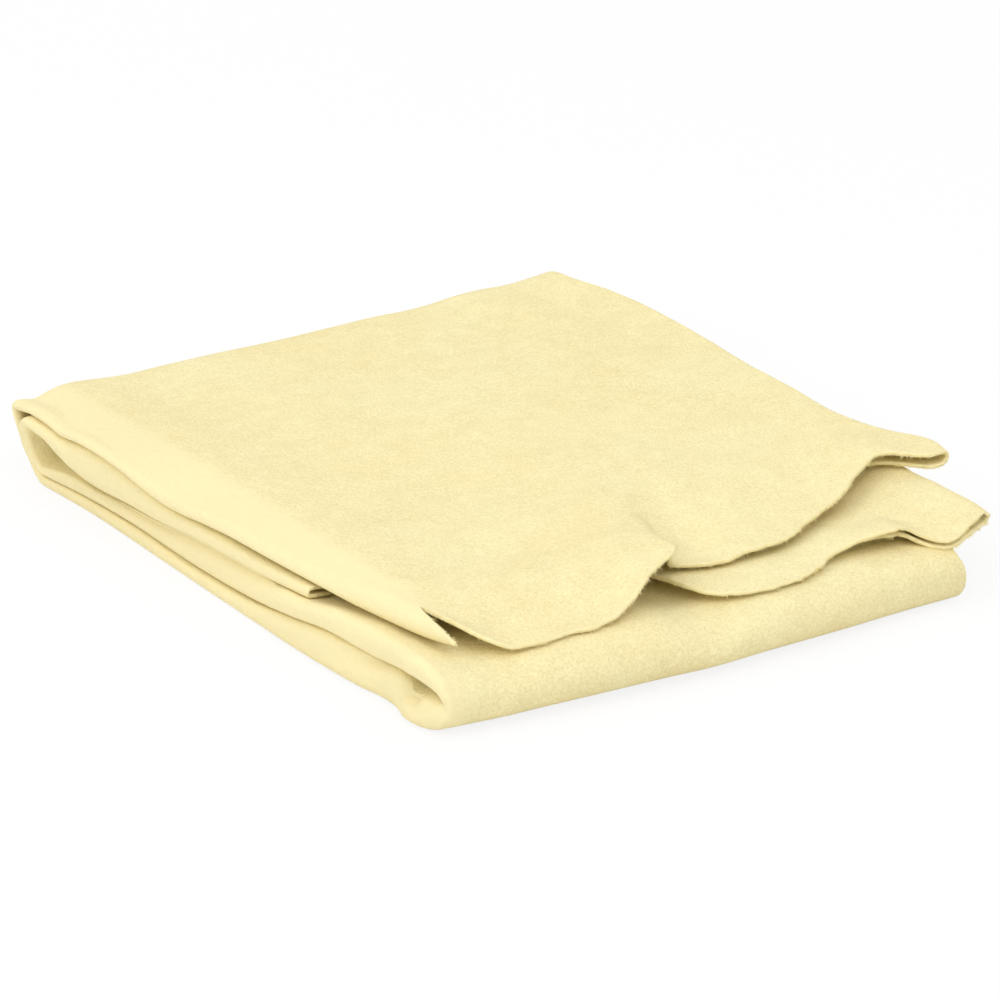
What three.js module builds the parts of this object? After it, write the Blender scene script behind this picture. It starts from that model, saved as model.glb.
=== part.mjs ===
// A chamois leather, folded flat.
// One oil-tanned skin, doubled so that a soft fold runs down its left side. The doubled strip is then
// folded over itself: the top flap turns down round the back into the base, the base rolls up at the
// front into the middle panel, and the strip's end is tucked back inside as the inner panel.
// x runs along the front roll, y from front to back and z up, all in millimetres.

import * as THREE from "three";

const { lerp, smoothstep, clamp } = THREE.MathUtils;

// The leather, the air between its lays, and the parting along a fold line between two panels
const THICK = 1.2;
const LAY_GAP = 0.4;
const TUCK_GAP = 0.9;
const PARTING = 0.3;

// The folded pack: the front roll's face to the back fold's face, and the left fold to the right edge
const DEPTH = 242;
const WIDTH = 172;

// Half the distance between the two plies of a lay, at the left fold and further in
const LEFT_HALF = 2.3;
const INNER_HALF = 1.6;
const SETTLE = 60;

// The front roll: the height from the base up to the middle panel, how far it bulges, the part of
// that which makes its face squarer, and how far its left end lies behind its right end
const ROLL_LEFT = 15;
const ROLL_RIGHT = 10.2;
const ROLL_REACH = 7;
const ROLL_SWELL = 5;
const ROLL_SKEW = 4;

// The back fold bulges and leans out over its foot, and swells away from its left end
const BACK_REACH = 11;
const BACK_LEAN = 10;
const BACK_SWELL = 12;
const BACK_SWELL_SPAN = 36;

// The tuck between the middle and the inner panel, and the inner panel's length past it
const TUCK_REACH = 6;
const TUCK_SETBACK = 10;
const INNER_LENGTH = 140;
const INNER_WAVE = 5;
const PINCH = 1.8;

// Each lay's left fold lies a little further in than the one below; the flap's runs askew
const MIDDLE_INSET = 2;
const INNER_INSET = 3;
const FLAP_OUTSET = 2.5;
const FLAP_SKEW = 15;

// The top flap stands puffed up beside its left fold
const FLAP_LOFT = 4.8;
const FLAP_FOLD_HALF = 1.1;
const SHOULDER = 17;

// Right edges, past the base's; the flap's margins are turned under there, most of all in front
const UPPER_OVERHANG = 24;
const UPPER_SAG = 7;
const UPPER_SAG_AT = 95;
const UPPER_SAG_SPAN = 45;
const LOWER_OVERHANG = 13;
const HEM_RADIUS = 1.5;
const HEM_EASE = 30;
const UPPER_HEM = 24;
const LOWER_HEM = 48;
const HEM_END = 5;

// Waves of the flap's front end: the drooping lobe, the standing hump, the raised tip and the arch
const LOBE_DROOP = 6.5;
const LOBE_RUN = 26;
const LOBE_FROM = 16;
const LOBE_TO = 80;
const HUMP_RISE = 6;
const HUMP_AT = 85;
const HUMP_LEFT = 10;
const HUMP_RIGHT = 4;
const HUMP_RUN = 26;
const HUMP_SLANT = 0.16;
const TIP_RISE = 4;
const TIP_SPAN = 42;
const ARCH_RISE = 3;
const ARCH_FROM_HEM = 30;
const ARCH_WIDTH = 14;
const ARCH_RUN = 24;

// Raw front edges of the flap's two plies: share of the width, and setback from the roll's face
const UPPER_EDGE = [
  [0.06, 19], [0.11, 6.5], [0.15, 2.8], [0.22, 2.6], [0.29, 4], [0.365, 11], [0.43, 18.5],
  [0.465, 24.5], [0.485, 18], [0.54, 15], [0.62, 17.5], [0.77, 33.5], [0.93, 55], [1, 46],
];
const LOWER_EDGE = [
  [0.06, 11], [0.14, 24], [0.28, 27], [0.43, 25.5], [0.5, 9.5], [0.55, 6], [0.64, 8.5],
  [0.82, 17.5], [0.88, 16.5], [0.95, 10.5], [1, 13.5],
];

const LEATHER = "#f3e3ad";

const left = -WIDTH / 2;
const right = WIDTH / 2;
const front = -DEPTH / 2;
const flapY = DEPTH / 2 - BACK_REACH - BACK_SWELL - THICK / 2 + BACK_LEAN / 2;
const baseY = flapY - BACK_LEAN;
const tuckY = flapY - TUCK_SETBACK;
const innerEndY = tuckY - INNER_LENGTH;
const hemHalf = HEM_RADIUS + THICK / 2;
const upperRight = right + UPPER_OVERHANG - hemHalf;
const lowerRight = right + LOWER_OVERHANG - hemHalf;

// Larger of two heights, rounded where they meet
function above(a, b, round) {
  return (a + b + Math.hypot(a - b, round)) / 2;
}

// Bell curve of height 1 and the given half width
function bell(distance, width) {
  return Math.exp(-((distance / width) ** 2));
}

// Smooth curve through [station, value] pairs
function curveThrough(points) {
  const slope = points.map((point, i) => {
    const before = points[Math.max(i - 1, 0)];
    const after = points[Math.min(i + 1, points.length - 1)];
    return (after[1] - before[1]) / (after[0] - before[0]);
  });
  return (station) => {
    const s = clamp(station, points[0][0], points.at(-1)[0]);
    const i = Math.min(points.findLastIndex((point) => point[0] <= s), points.length - 2);
    const span = points[i + 1][0] - points[i][0];
    const rise = points[i + 1][1] - points[i][1];
    const t = (s - points[i][0]) / span;
    const bow = (1 - t) * (slope[i] * span - rise) - t * (slope[i + 1] * span - rise);
    return points[i][1] + rise * t + t * (1 - t) * bow;
  };
}

const upperEdge = curveThrough(UPPER_EDGE);
const lowerEdge = curveThrough(LOWER_EDGE);

// Lines as seen from above: the roll's face and axis, the flap's left fold and its right hem
const faceY = (x) => front + (ROLL_SKEW * (right - x)) / WIDTH;
const rollY = (x) => faceY(x) + ROLL_REACH + ROLL_SWELL + THICK / 2;

function flapFold(y) {
  const share = clamp((flapY - y) / (flapY - front), 0, 1);
  return left - FLAP_OUTSET + FLAP_SKEW * share ** 2.5;
}

function upperHemX(y) {
  return upperRight - UPPER_SAG * bell(y - front - UPPER_SAG_AT, UPPER_SAG_SPAN);
}

// Heights of the plies' middles: ply 0 lies on the table and ply 7 is the top of the pack
function half(x) {
  return INNER_HALF + (LEFT_HALF - INNER_HALF) * Math.exp(-Math.max(x - left, 0) / SETTLE);
}

// Share of the way from the tuck to the front roll, slow at first
function forward(x, y) {
  return clamp((tuckY - y) / (tuckY - rollY(x)), 0, 1) ** 2.1;
}

function spread(x, y) {
  const open = 2 * half(x);
  return lerp(open, Math.min(PINCH, open), Math.sin(Math.PI * forward(x, y)) ** 2);
}

const ply0 = () => THICK / 2;
const ply1 = (x) => ply0() + 2 * half(x);

function ply2(x, y) {
  const low = ply1(x) + THICK + LAY_GAP;
  const high = ply0() + lerp(ROLL_LEFT, ROLL_RIGHT, (x - left) / WIDTH);
  return lerp(low, high, Math.sin((Math.PI / 2) * forward(x, y)) ** 2);
}

const ply3 = (x, y) => ply2(x, y) + spread(x, y);
const ply4 = (x, y) => ply3(x, y) + THICK + TUCK_GAP;
const ply5 = (x, y) => ply4(x, y) + spread(x, y);

// How far round the roll a point lies that is the given share of its bulge in front of its axis
function roundRoll(share) {
  const steep = ROLL_REACH + 2 * ROLL_SWELL;
  const bulge = ROLL_REACH + ROLL_SWELL;
  return (2 * bulge * share) / (steep + Math.sqrt(steep ** 2 - 4 * ROLL_SWELL * bulge * share));
}

// Height of a ply that lies on the inner panel and, in front of it, round the roll's shoulder
function resting(x, y) {
  const lift = THICK + LAY_GAP;
  const ledge = ply5(x, Math.max(y, innerEndY)) + lift;
  const past = smoothstep(innerEndY - y, 0, 2 * (innerEndY - front));
  const crown = ply3(x, Math.max(y, rollY(x))) + lift;
  const core = (ply0() + crown - lift) / 2;
  const fall = roundRoll(clamp((rollY(x) - y) / (ROLL_REACH + ROLL_SWELL + lift), 0, 1));
  return above(lerp(ledge, ply0(), past), lerp(core, crown, Math.sqrt(1 - fall ** 2)), 1);
}

function ply6(x, y) {
  const hemEnd = lowerRight - LOWER_HEM;
  const hem = 2 * HEM_RADIUS * smoothstep(x, hemEnd - HEM_EASE, hemEnd);
  const arch = ARCH_RISE * bell(x - lowerRight + ARCH_FROM_HEM, ARCH_WIDTH);
  return resting(x, y) + hem + arch * Math.exp(-(y - front) / ARCH_RUN);
}

function ply7(x, y) {
  const ahead = y - faceY(x);
  const slope = (x - flapFold(y)) / SHOULDER;
  const puff = 1 - above(1 - slope, 0, 0.25);
  const loft = FLAP_LOFT + (2 * HEM_RADIUS * (x - left)) / (lowerRight - LOWER_HEM - left);
  const level = resting(x, Math.max(y, rollY(x) + SHOULDER)) + lerp(2 * FLAP_FOLD_HALF, loft, puff);
  const lobeIn = smoothstep(x - left, LOBE_FROM, LOBE_FROM + SHOULDER);
  const lobeOut = smoothstep(LOBE_TO - (x - left), 0, 2 * SHOULDER);
  const lobe = LOBE_DROOP * lobeIn * lobeOut * smoothstep(LOBE_RUN - ahead, 0, LOBE_RUN);
  const fromCrest = x - left - HUMP_AT - ahead * HUMP_SLANT;
  const hump = HUMP_RISE * bell(fromCrest, fromCrest < 0 ? HUMP_LEFT : HUMP_RIGHT);
  const tip = TIP_RISE * smoothstep(x, upperRight - TIP_SPAN, upperRight);
  const raised = hump * Math.exp(-ahead / HUMP_RUN) + tip * smoothstep(2 * TIP_SPAN - ahead, 0, TIP_SPAN);
  return above(level + raised - lobe, resting(x, y), 0.6);
}

// A doubled stretch of the skin. v runs from the outer ply's right edge (0) to the left fold (1 to 2)
// and back along the inner ply to its right edge (3); u runs along the strip.
function doubled({ outer, inner, foldX, foldHalf, outerRight, innerRight }) {
  return (u, v) => {
    const reach = foldHalf(u);
    const start = foldX(u) + reach;
    if (v <= 1) {
      return outer(lerp(outerRight(u), start, v), u);
    }
    if (v >= 2) {
      return inner(lerp(start, innerRight(u), v - 2), u);
    }
    const turn = (v - 1) * Math.PI;
    const from = outer(start, u);
    const to = inner(start, u);
    const point = from.clone().add(to).multiplyScalar(0.5);
    point.addScaledVector(from.sub(to), Math.cos(turn) / 2);
    return point.setX(start - reach * Math.sin(turn));
  };
}

// The same with both right margins turned under: v from -2 to 0 and from 3 to 5
function hemmed(section, hemLength) {
  const plain = doubled(section);
  const margin = (ply, edge, full, u, s) => {
    if (s <= 1) {
      const point = ply(edge(u), u);
      point.x += HEM_RADIUS * Math.sin(s * Math.PI);
      point.z -= HEM_RADIUS * (1 - Math.cos(s * Math.PI));
      return point;
    }
    const point = ply(edge(u) - lerp(HEM_END, full, u ** 2) * (s - 1), u);
    point.z -= 2 * HEM_RADIUS;
    return point;
  };
  return (u, v) => {
    if (v < 0) {
      return margin(section.outer, section.outerRight, hemLength.outer, u, -v);
    }
    if (v > 3) {
      return margin(section.inner, section.innerRight, hemLength.inner, u, v - 3);
    }
    return plain(u, v);
  };
}

// One ply of a flat lay between two lines, each given as y at x
function flat(ply, from, to) {
  return (x, u) => {
    const y = lerp(from(x), to(x), u);
    return new THREE.Vector3(x, y, ply(x, y));
  };
}

// One ply of a bend: half an ellipse from one ply to another, each at its line. It bulges by reach, and
// by a swell that makes it squarer.
function bend(fromPly, toPly, from, to, reach, swell = () => 0) {
  return (x, u) => {
    const bulge = Math.sin(u * Math.PI);
    const y = lerp(from(x), to(x), u) + reach(x) * bulge + swell(x) * (2 - bulge) * bulge;
    const z = lerp(fromPly(x, from(x)), toPly(x, to(x)), (1 - Math.cos(u * Math.PI)) / 2);
    return new THREE.Vector3(x, y, z);
  };
}

// Closes the leather round its middle surface: a face on either side and a rim along the cut edges
function leather(name, surface, rows, columns) {
  const step = 1e-4;
  const position = [];
  for (const side of [THICK / 2, -THICK / 2]) {
    for (const u of rows) {
      for (const v of columns) {
        const along = surface(u + step, v).sub(surface(u - step, v));
        const across = surface(u, v + step).sub(surface(u, v - step));
        const normal = along.cross(across).normalize();
        position.push(...surface(u, v).addScaledVector(normal, side).toArray());
      }
    }
  }
  const wide = columns.length;
  const last = (rows.length - 1) * wide;
  const under = rows.length * wide;
  const index = [];
  for (let a = 0; a < last; a += wide) {
    for (let j = a; j < a + wide - 1; j += 1) {
      const k = j + wide;
      index.push(j, k, k + 1, j, k + 1, j + 1);
      index.push(under + j, under + k + 1, under + k, under + j, under + j + 1, under + k + 1);
    }
  }
  const rim = [];
  for (let j = 0; j < last; j += wide) rim.push(j);
  for (let j = last; j < under - 1; j += 1) rim.push(j);
  for (let j = under - 1; j > wide - 1; j -= wide) rim.push(j);
  for (let j = wide - 1; j > 0; j -= 1) rim.push(j);
  rim.forEach((p, i) => {
    const q = rim[(i + 1) % rim.length];
    index.push(q, p, under + p, q, under + p, under + q);
  });
  const geometry = new THREE.BufferGeometry();
  geometry.setAttribute("position", new THREE.Float32BufferAttribute(position, 3));
  geometry.setIndex(index);
  geometry.computeVertexNormals();
  const material = new THREE.MeshStandardMaterial({ color: LEATHER, roughness: 0.95, metalness: 0 });
  const mesh = new THREE.Mesh(geometry, material);
  mesh.name = name;
  return mesh;
}

// Runs of evenly spaced stations: [count, end] pairs that follow on from the start
function stations(start, ...runs) {
  const list = [start];
  for (const [count, end] of runs) {
    const from = list.at(-1);
    for (let i = 1; i <= count; i += 1) list.push(lerp(from, end, i / count));
  }
  return list;
}

const across = stations(0, [7, 1], [6, 2], [7, 3]);
const trim = PARTING / 2;
const round = (reach) => stations(trim / reach / Math.PI, [12, 1 - trim / reach / Math.PI]);
const inFrontOf = (y) => () => y - trim;
const behindRoll = (x) => rollY(x) + trim;
const middleFold = left + MIDDLE_INSET;
const innerFold = left + INNER_INSET;
const rightEdge = () => right;
const leftHalf = () => half(left);
const pinchedHalf = (y0, y1) => (u) => spread(left, lerp(y0, y1, u)) / 2;

// Base panel: both plies flat on the table
const basePanel = doubled({
  outer: flat(ply0, behindRoll, inFrontOf(baseY)),
  inner: flat(ply1, behindRoll, inFrontOf(baseY)),
  foldX: () => left,
  foldHalf: leftHalf,
  outerRight: rightEdge,
  innerRight: rightEdge,
});

// Front roll, from the base up to the middle panel
const frontFold = doubled({
  outer: bend(ply0, ply3, rollY, rollY, () => -ROLL_REACH, () => -ROLL_SWELL),
  inner: bend(ply1, ply2, rollY, rollY, (x) => 2 * half(x) - ROLL_REACH, () => -ROLL_SWELL),
  foldX: (u) => lerp(left, middleFold, u),
  foldHalf: leftHalf,
  outerRight: rightEdge,
  innerRight: rightEdge,
});

// Middle panel: falls from the roll to the tuck at the back
const middlePanel = doubled({
  outer: flat(ply3, behindRoll, inFrontOf(tuckY)),
  inner: flat(ply2, behindRoll, inFrontOf(tuckY)),
  foldX: () => middleFold,
  foldHalf: pinchedHalf(rollY(left), tuckY),
  outerRight: rightEdge,
  innerRight: rightEdge,
});

// Tuck inside the back fold, from the middle panel to the inner one
const atTuck = () => tuckY;
const innerTuck = doubled({
  outer: bend(ply2, ply5, atTuck, atTuck, () => TUCK_REACH),
  inner: bend(ply3, ply4, atTuck, atTuck, () => (THICK + TUCK_GAP) / 2),
  foldX: (u) => lerp(middleFold, innerFold, u),
  foldHalf: leftHalf,
  outerRight: rightEdge,
  innerRight: rightEdge,
});

// Inner panel: its free end lies short of the roll
const innerEnd = (x) => innerEndY + INNER_WAVE * Math.sin((x - left) / (2 * SHOULDER));
const innerPanel = doubled({
  outer: flat(ply5, inFrontOf(tuckY), innerEnd),
  inner: flat(ply4, inFrontOf(tuckY), innerEnd),
  foldX: () => innerFold,
  foldHalf: pinchedHalf(tuckY, innerEndY),
  outerRight: rightEdge,
  innerRight: rightEdge,
});

// Back fold, from the base up and over to the top flap
const atBase = () => baseY;
const atFlap = () => flapY;
const backSwell = (x) => BACK_SWELL * (1 - Math.exp(-Math.max(x - left, 0) / BACK_SWELL_SPAN));
const backFold = doubled({
  outer: bend(ply0, ply7, atBase, atFlap, () => BACK_REACH, backSwell),
  inner: bend(ply1, ply6, atBase, atFlap, (x) => BACK_REACH - 2 * half(x), backSwell),
  foldX: (u) => lerp(left, flapFold(flapY), u),
  foldHalf: (u) => lerp(half(left), FLAP_FOLD_HALF, u),
  outerRight: (u) => lerp(right, upperHemX(flapY), u),
  innerRight: (u) => lerp(right, lowerRight, u),
});

// Top flap: two plies with wavy raw ends in front and their right margins turned under
const upperEnd = (x) => faceY(x) + upperEdge((x - left) / (upperRight - left));
const lowerEnd = (x) => faceY(x) + lowerEdge((x - left) / (lowerRight - left));
const topFlap = hemmed(
  {
    outer: flat(ply7, inFrontOf(flapY), upperEnd),
    inner: flat(ply6, inFrontOf(flapY), lowerEnd),
    foldX: (u) => flapFold(lerp(flapY, front, u)),
    foldHalf: () => FLAP_FOLD_HALF,
    outerRight: (u) => upperHemX(lerp(flapY, upperEnd(upperRight), u)),
    innerRight: () => lowerRight,
  },
  { outer: UPPER_HEM, inner: LOWER_HEM },
);
const flapRows = stations(0, [3, 0.6], [3, 0.84], [3, 0.93], [4, 1]);
const upperColumns = stations(-2, [1, -1], [3, 0], [6, 0.47], [4, 0.57], [6, 1]);
const lowerColumns = stations(1, [4, 2], [3, 2.4], [5, 2.54], [5, 3], [3, 4], [1, 5]);

const hide = new THREE.Group();
hide.add(
  leather("base_panel", basePanel, stations(0, [4, 1]), across),
  leather("front_fold", frontFold, round(ROLL_REACH), across),
  leather("middle_panel", middlePanel, stations(0, [12, 1]), across),
  leather("inner_fold", innerTuck, round(TUCK_REACH), across),
  leather("inner_panel", innerPanel, stations(0, [9, 1]), across),
  leather("back_fold", backFold, round(BACK_REACH), across),
  leather("top_flap", topFlap, flapRows, [...upperColumns, ...lowerColumns.slice(1)]),
);

// Stand the pack over the origin, on the table
const size = new THREE.Box3().setFromObject(hide);
const middle = size.getCenter(new THREE.Vector3());
hide.position.set(-middle.x, -middle.y, -size.min.z);

export default hide;
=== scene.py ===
import bpy
import numpy as np
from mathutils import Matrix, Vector


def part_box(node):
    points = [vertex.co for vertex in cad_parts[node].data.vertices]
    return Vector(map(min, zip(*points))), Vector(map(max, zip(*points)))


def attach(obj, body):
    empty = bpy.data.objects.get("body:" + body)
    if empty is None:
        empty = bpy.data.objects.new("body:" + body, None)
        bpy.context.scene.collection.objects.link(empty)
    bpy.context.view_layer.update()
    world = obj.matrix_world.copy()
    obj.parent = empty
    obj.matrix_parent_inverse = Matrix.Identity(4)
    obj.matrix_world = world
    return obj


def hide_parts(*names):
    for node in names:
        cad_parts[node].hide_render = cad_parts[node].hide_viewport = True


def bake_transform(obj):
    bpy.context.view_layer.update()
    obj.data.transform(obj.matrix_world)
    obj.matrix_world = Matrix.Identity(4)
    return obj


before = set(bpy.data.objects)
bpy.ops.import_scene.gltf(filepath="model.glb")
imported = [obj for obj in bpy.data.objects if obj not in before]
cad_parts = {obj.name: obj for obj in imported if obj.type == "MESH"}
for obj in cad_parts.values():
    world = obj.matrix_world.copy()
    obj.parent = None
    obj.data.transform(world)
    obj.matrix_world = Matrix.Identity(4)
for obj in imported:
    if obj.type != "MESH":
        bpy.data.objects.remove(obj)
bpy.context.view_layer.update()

# Folded stack
# The hide is one oil-tanned skin with a suede nap on both faces, doubled so that a soft fold runs down
# its left side. The doubled strip lies on the table, rolls up at the front, falls back over itself to a
# tuck at the back and comes forward again as a short inner lay. Only its own weight holds it.
MM = 0.001
low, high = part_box("base_panel")
thick = 1.2
left = low.x / MM + thick / 2
width = high.x / MM - left
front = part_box("front_fold")[0].y / MM

# All shapes are in millimetres: a runs across from the left fold, b back from the roll's face, z up.
# Lines across the strip, by how far back they lie
seam_line = 206.0
base_end = 213.4
tuck_line = 213.4
inner_end = 73.4
roll_set = 12.6
roll_skew = 4.0

# The roll's height at either end, how square it is, and the length of the fold round it
roll_left = 15.0
roll_right = 10.2
roll_swell = 5.0
roll_run = 34

# Distances between two lays, and between the plies of a lay where it lies flat and where it is pinched
lay_gap = 0.35
flat_spread = 3.2
pinched_spread = 1.8


def mix(start, end, share):
    """Straight blend from start to end."""
    return start + (end - start) * share


def eased(value, start, end):
    """Smooth step: 0 up to start, 1 from end on, and a cubic between."""
    share = np.clip((value - start) / (end - start), 0, 1)
    return share * share * (3 - 2 * share)


def bell(distance, spread):
    """Bell curve: 1 at distance 0, about 0.37 at the spread."""
    return np.exp(-((distance / spread) ** 2))


def upper_of(one, other, rounding):
    """The larger of two heights, rounded by a hyperbola where they meet."""
    return (one + other + np.hypot(one - other, rounding)) / 2


def drawn(points):
    """A smooth curve through given (station, value) points: a cubic between each two that keeps
    the slopes at both, and level outside."""
    station, value = np.array(points, float).T
    slope = np.gradient(value, station)

    def curve(place):
        """The curve's value at a place."""
        inside = np.clip(place, station[0], station[-1])
        i = np.clip(np.searchsorted(station, inside, side="right") - 1, 0, len(station) - 2)
        span = station[i + 1] - station[i]
        rise = value[i + 1] - value[i]
        share = (inside - station[i]) / span
        bow = (1 - share) * (slope[i] * span - rise) - share * (slope[i + 1] * span - rise)
        return value[i] + rise * share + share * (1 - share) * bow

    return curve


def constant(value):
    """A curve that has one value everywhere."""
    return lambda place: value + 0 * place


ripple_waves = 5


def ripples(a, b, length, turn):
    """Low waves without a pattern: the mean of five sine waves, the first of that length, each shorter
    than the last and in another direction."""
    total = 0
    for k in range(ripple_waves):
        angle = turn + 2.4 * k
        along = a * np.cos(angle) + b * np.sin(angle)
        total = total + np.sin(2 * np.pi * along * (1 + 0.23 * k) / length + 1.7 * k + turn)
    return total / ripple_waves


# How far the roll swells in front of its axis: most at its middle, so that its front edge is bowed
roll_depth = drawn([
    (0, 14.6), (12, 15.4), (40, 17.2), (70, 17.7), (105, 16.2), (130, 14), (150, 11.4), (172, 9.4),
])

# How slowly the middle lay's ramp to the roll starts, and how far it sinks at the left fold
ramp_ease = 2.1
ramp_sink = 1


def roll_axis(a):
    """The line that the roll turns about: straight, and further back at the left end."""
    return roll_set + roll_skew * (1 - a / width)


def forward(a, b):
    """Share of the way from the tuck to the roll, to a power that makes it slow at first."""
    return np.clip((tuck_line - b) / (tuck_line - roll_axis(a)), 0, 1) ** ramp_ease


def settled(a, run):
    """How much of a fold's fullness is left at a distance from it: a fall by e over each run."""
    return np.exp(-np.maximum(a, 0) / run)


# Along the left fold: the height of the base, the distance between the plies of the middle and the inner
# lay, and how far the inner lay lifts off the middle one
base_nose = drawn([
    (14, 14.6), (20, 13.9), (26, 12.8), (33, 11.7), (43, 11.1), (56, 11.4), (75, 8.8), (100, 4.7),
    (130, 3.3), (165, 3.9), (190, 3.4), (213, 3),
])
middle_fullness = drawn([
    (16.6, 4.8), (30, 6.2), (40, 7), (54, 5.8), (68, 4.9), (84, 6), (100, 7.3), (130, 7.2), (155, 3.9),
    (174, 2.8), (187, 2.4), (200, 3), (213, 1.6),
])
inner_fullness = drawn([
    (60, 2), (84, 2.9), (108, 3.8), (139, 4.8), (163, 8.5), (176, 9.9), (187, 9.2), (198, 5.4),
    (206, 2.9), (213, 2),
])
tuck_opening = drawn([
    (84, 0), (108, 0.5), (139, 0.9), (163, 2.1), (176, 2.3), (187, 3.4), (198, 5.8), (206, 9.8),
    (213, 11.8),
])

# How far across from the left fold the fullness of each lay reaches
base_run = 34
ramp_run = 16
middle_run = 30
tuck_run = 24
inner_run = 26

# The pocket in the base at the front corner
corner_place = 18
pocket_depth = 8.4
pocket_spread = 3.8
pocket_run = 12

# The hollow under the flap's hump, and two on the roll, each with its place across and its width
hump_hollow_depth = 3.2
hump_hollow_across, hump_hollow_width = 84, 12
hump_hollow_back, hump_hollow_length = 27, 13
bridged_depth = 1.7
bridged_hollows = ((87, 13), (21, 9))
bridged_back, bridged_length = 14, 24


def far_spread(a, b):
    """Distance between the plies of a lay away from the left fold: a squared sine pinches it halfway."""
    return mix(flat_spread, pinched_spread, np.sin(np.pi * forward(a, b)) ** 2)


def ply0(a, b):
    """The lower ply of the base, flat on the table."""
    return thick / 2 + 0 * a * b


def corner_pocket(a, b):
    """Depth of the small pocket pressed into the base's fold at the front corner: a bell along it."""
    return pocket_depth * bell(b - corner_place, pocket_spread) * settled(a, pocket_run)


def base_top(a, b):
    """The upper ply of the base without its pocket: flat, rising to the fold's height at the left."""
    return ply0(a, b) + flat_spread + (base_nose(b) - thick - flat_spread) * settled(a, base_run)


def ply1(a, b):
    """The upper ply of the base: its top less its pocket."""
    return base_top(a, b) - corner_pocket(a, b)


def hump_hollow(a, b):
    """Depth of the hollow in the roll's shoulder under the flap's hump: a bell each way."""
    across = bell(a - hump_hollow_across, hump_hollow_width)
    return hump_hollow_depth * across * bell(b - hump_hollow_back, hump_hollow_length)


def ply2(a, b):
    """The lower ply of the middle lay: on the base along the left fold, and elsewhere up a sine ramp to
    the roll, less the hollow under the hump."""
    lying = base_top(a, b) + thick + lay_gap
    raised = thick / 2 + mix(roll_left, roll_right, a / width)
    ramp = mix(thick * 2 + lay_gap + flat_spread, raised, np.sin(np.pi / 2 * forward(a, b)) ** 2)
    ramp = mix(ramp, lying - ramp_sink, settled(a, ramp_run))
    return upper_of(lying, ramp - hump_hollow(a, b), rounding=0.5)


def ply3_full(a, b):
    """The upper ply of the middle lay without hollows: a spread above the lower ply, fuller at the left."""
    far = far_spread(a, b)
    return ply2(a, b) + far + (middle_fullness(b) - far) * settled(a, middle_run)


def ply3(a, b):
    """The upper ply of the middle lay, with two bell-shaped hollows on the roll that the flap bridges."""
    hollow = sum(bell(a - across, spread) for across, spread in bridged_hollows)
    return ply3_full(a, b) - bridged_depth * hollow * bell(b - bridged_back, bridged_length)


def ply4(a, b):
    """The lower ply of the inner lay, lifted off the middle lay towards the tuck's open left end."""
    return ply3(a, b) + thick + lay_gap + tuck_opening(b) * settled(a, tuck_run)


def ply5(a, b):
    """The upper ply of the inner lay: a spread above the lower ply, fuller at the left."""
    far = far_spread(a, b)
    return ply4(a, b) + far + (inner_fullness(b) - far) * settled(a, inner_run)


# How far in from the pack's left side each fold lies, and how far the fold round the roll bulges
base_fold = drawn([
    (14, 0.4), (20, 0.5), (26, 2), (33, 2.4), (43, 1), (56, 0.2), (75, 0), (88, 0.4), (100, 0.7),
    (115, 1), (130, 1.2), (150, 1.4), (165, 1.6), (190, 1.6), (213, 0.4),
])
roll_fold = drawn([(0, 0.4), (0.1, 0.9), (0.2, 1.7), (0.35, 2.8), (0.5, 3.4), (0.7, 2.2), (1, -0.2)])
roll_nose = drawn([(0, 3.2), (0.2, 3.2), (0.4, 2), (0.52, 1.4), (0.7, 1.6), (1, 2.6)])
middle_fold = drawn([
    (16.6, -0.2), (26, 1.4), (40, 1.5), (56, 0.4), (75, -0.1), (100, 1.7), (130, 2.2), (165, 2.4),
    (190, 1.9), (213, 0),
])
inner_fold = drawn([(60, 3.4), (108, 1.6), (150, 0), (190, -2.2), (213, -4.2)])

# The right edges, cut by hand: how far they are drawn in along the roll, and the waves they wander by
edge_draw = 2.4
edge_draw_run = 45
slow_wave = 31
quick_wave = 13


def right_edge(b, turn, wander):
    """A ply's cut right edge: drawn in by a bell along the roll, wandering by the product of two sines."""
    drawn_in = width - wander - edge_draw * bell(b, edge_draw_run)
    return drawn_in + wander * np.sin(b / slow_wave + turn) * np.sin(b / quick_wave + 2 * turn)


def outer_edge(b):
    """The right edge of the skin's outer ply."""
    return right_edge(b, turn=0.3, wander=1.0)


def inner_edge(b):
    """The right edge of the skin's inner ply."""
    return right_edge(b, turn=1.9, wander=1.2)


# Path of the roll's inner ply round the small hollow that stays open at its left end: forward, and down
inside_forward = drawn([
    (0, 0), (0.2, 4.6), (0.4, 9.6), (0.5, 12), (0.6, 13), (0.7, 11.6), (0.85, 6.1), (1, 0),
])
inside_dip = drawn([
    (0, 0), (0.2, -0.8), (0.4, 0.8), (0.5, 1.8), (0.6, 1.6), (0.7, 0.5), (0.85, 0.2), (1, 0),
])
inside_inset = 8.4
inside_run = 22


def roll_inside(a, u):
    """The roll's inner ply: half an ellipse, drawn out round the small hollow towards the left end."""
    axis = roll_axis(a)
    bulge = np.sin(np.pi * u)
    open_b = axis - (roll_depth(a) - inside_inset) * bulge - roll_swell * (2 - bulge) * bulge
    share = settled(a, inside_run)
    b = mix(open_b, axis - inside_forward(u), share)
    z = mix(ply1(a, axis), ply2(a, axis), (1 - np.cos(np.pi * u)) / 2) - inside_dip(u) * share
    return np.stack([a + 0 * b, b, z], axis=-1)


def flat_lay(ply, start, end):
    """One ply of a lay between two lines, each given as b at a."""
    def points(a, u):
        """Points at the share u of the way from one line straight to the other."""
        b = mix(start(a), end(a), u)
        return np.stack([a + 0 * b, b, ply(a, b)], axis=-1)

    return points


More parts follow.
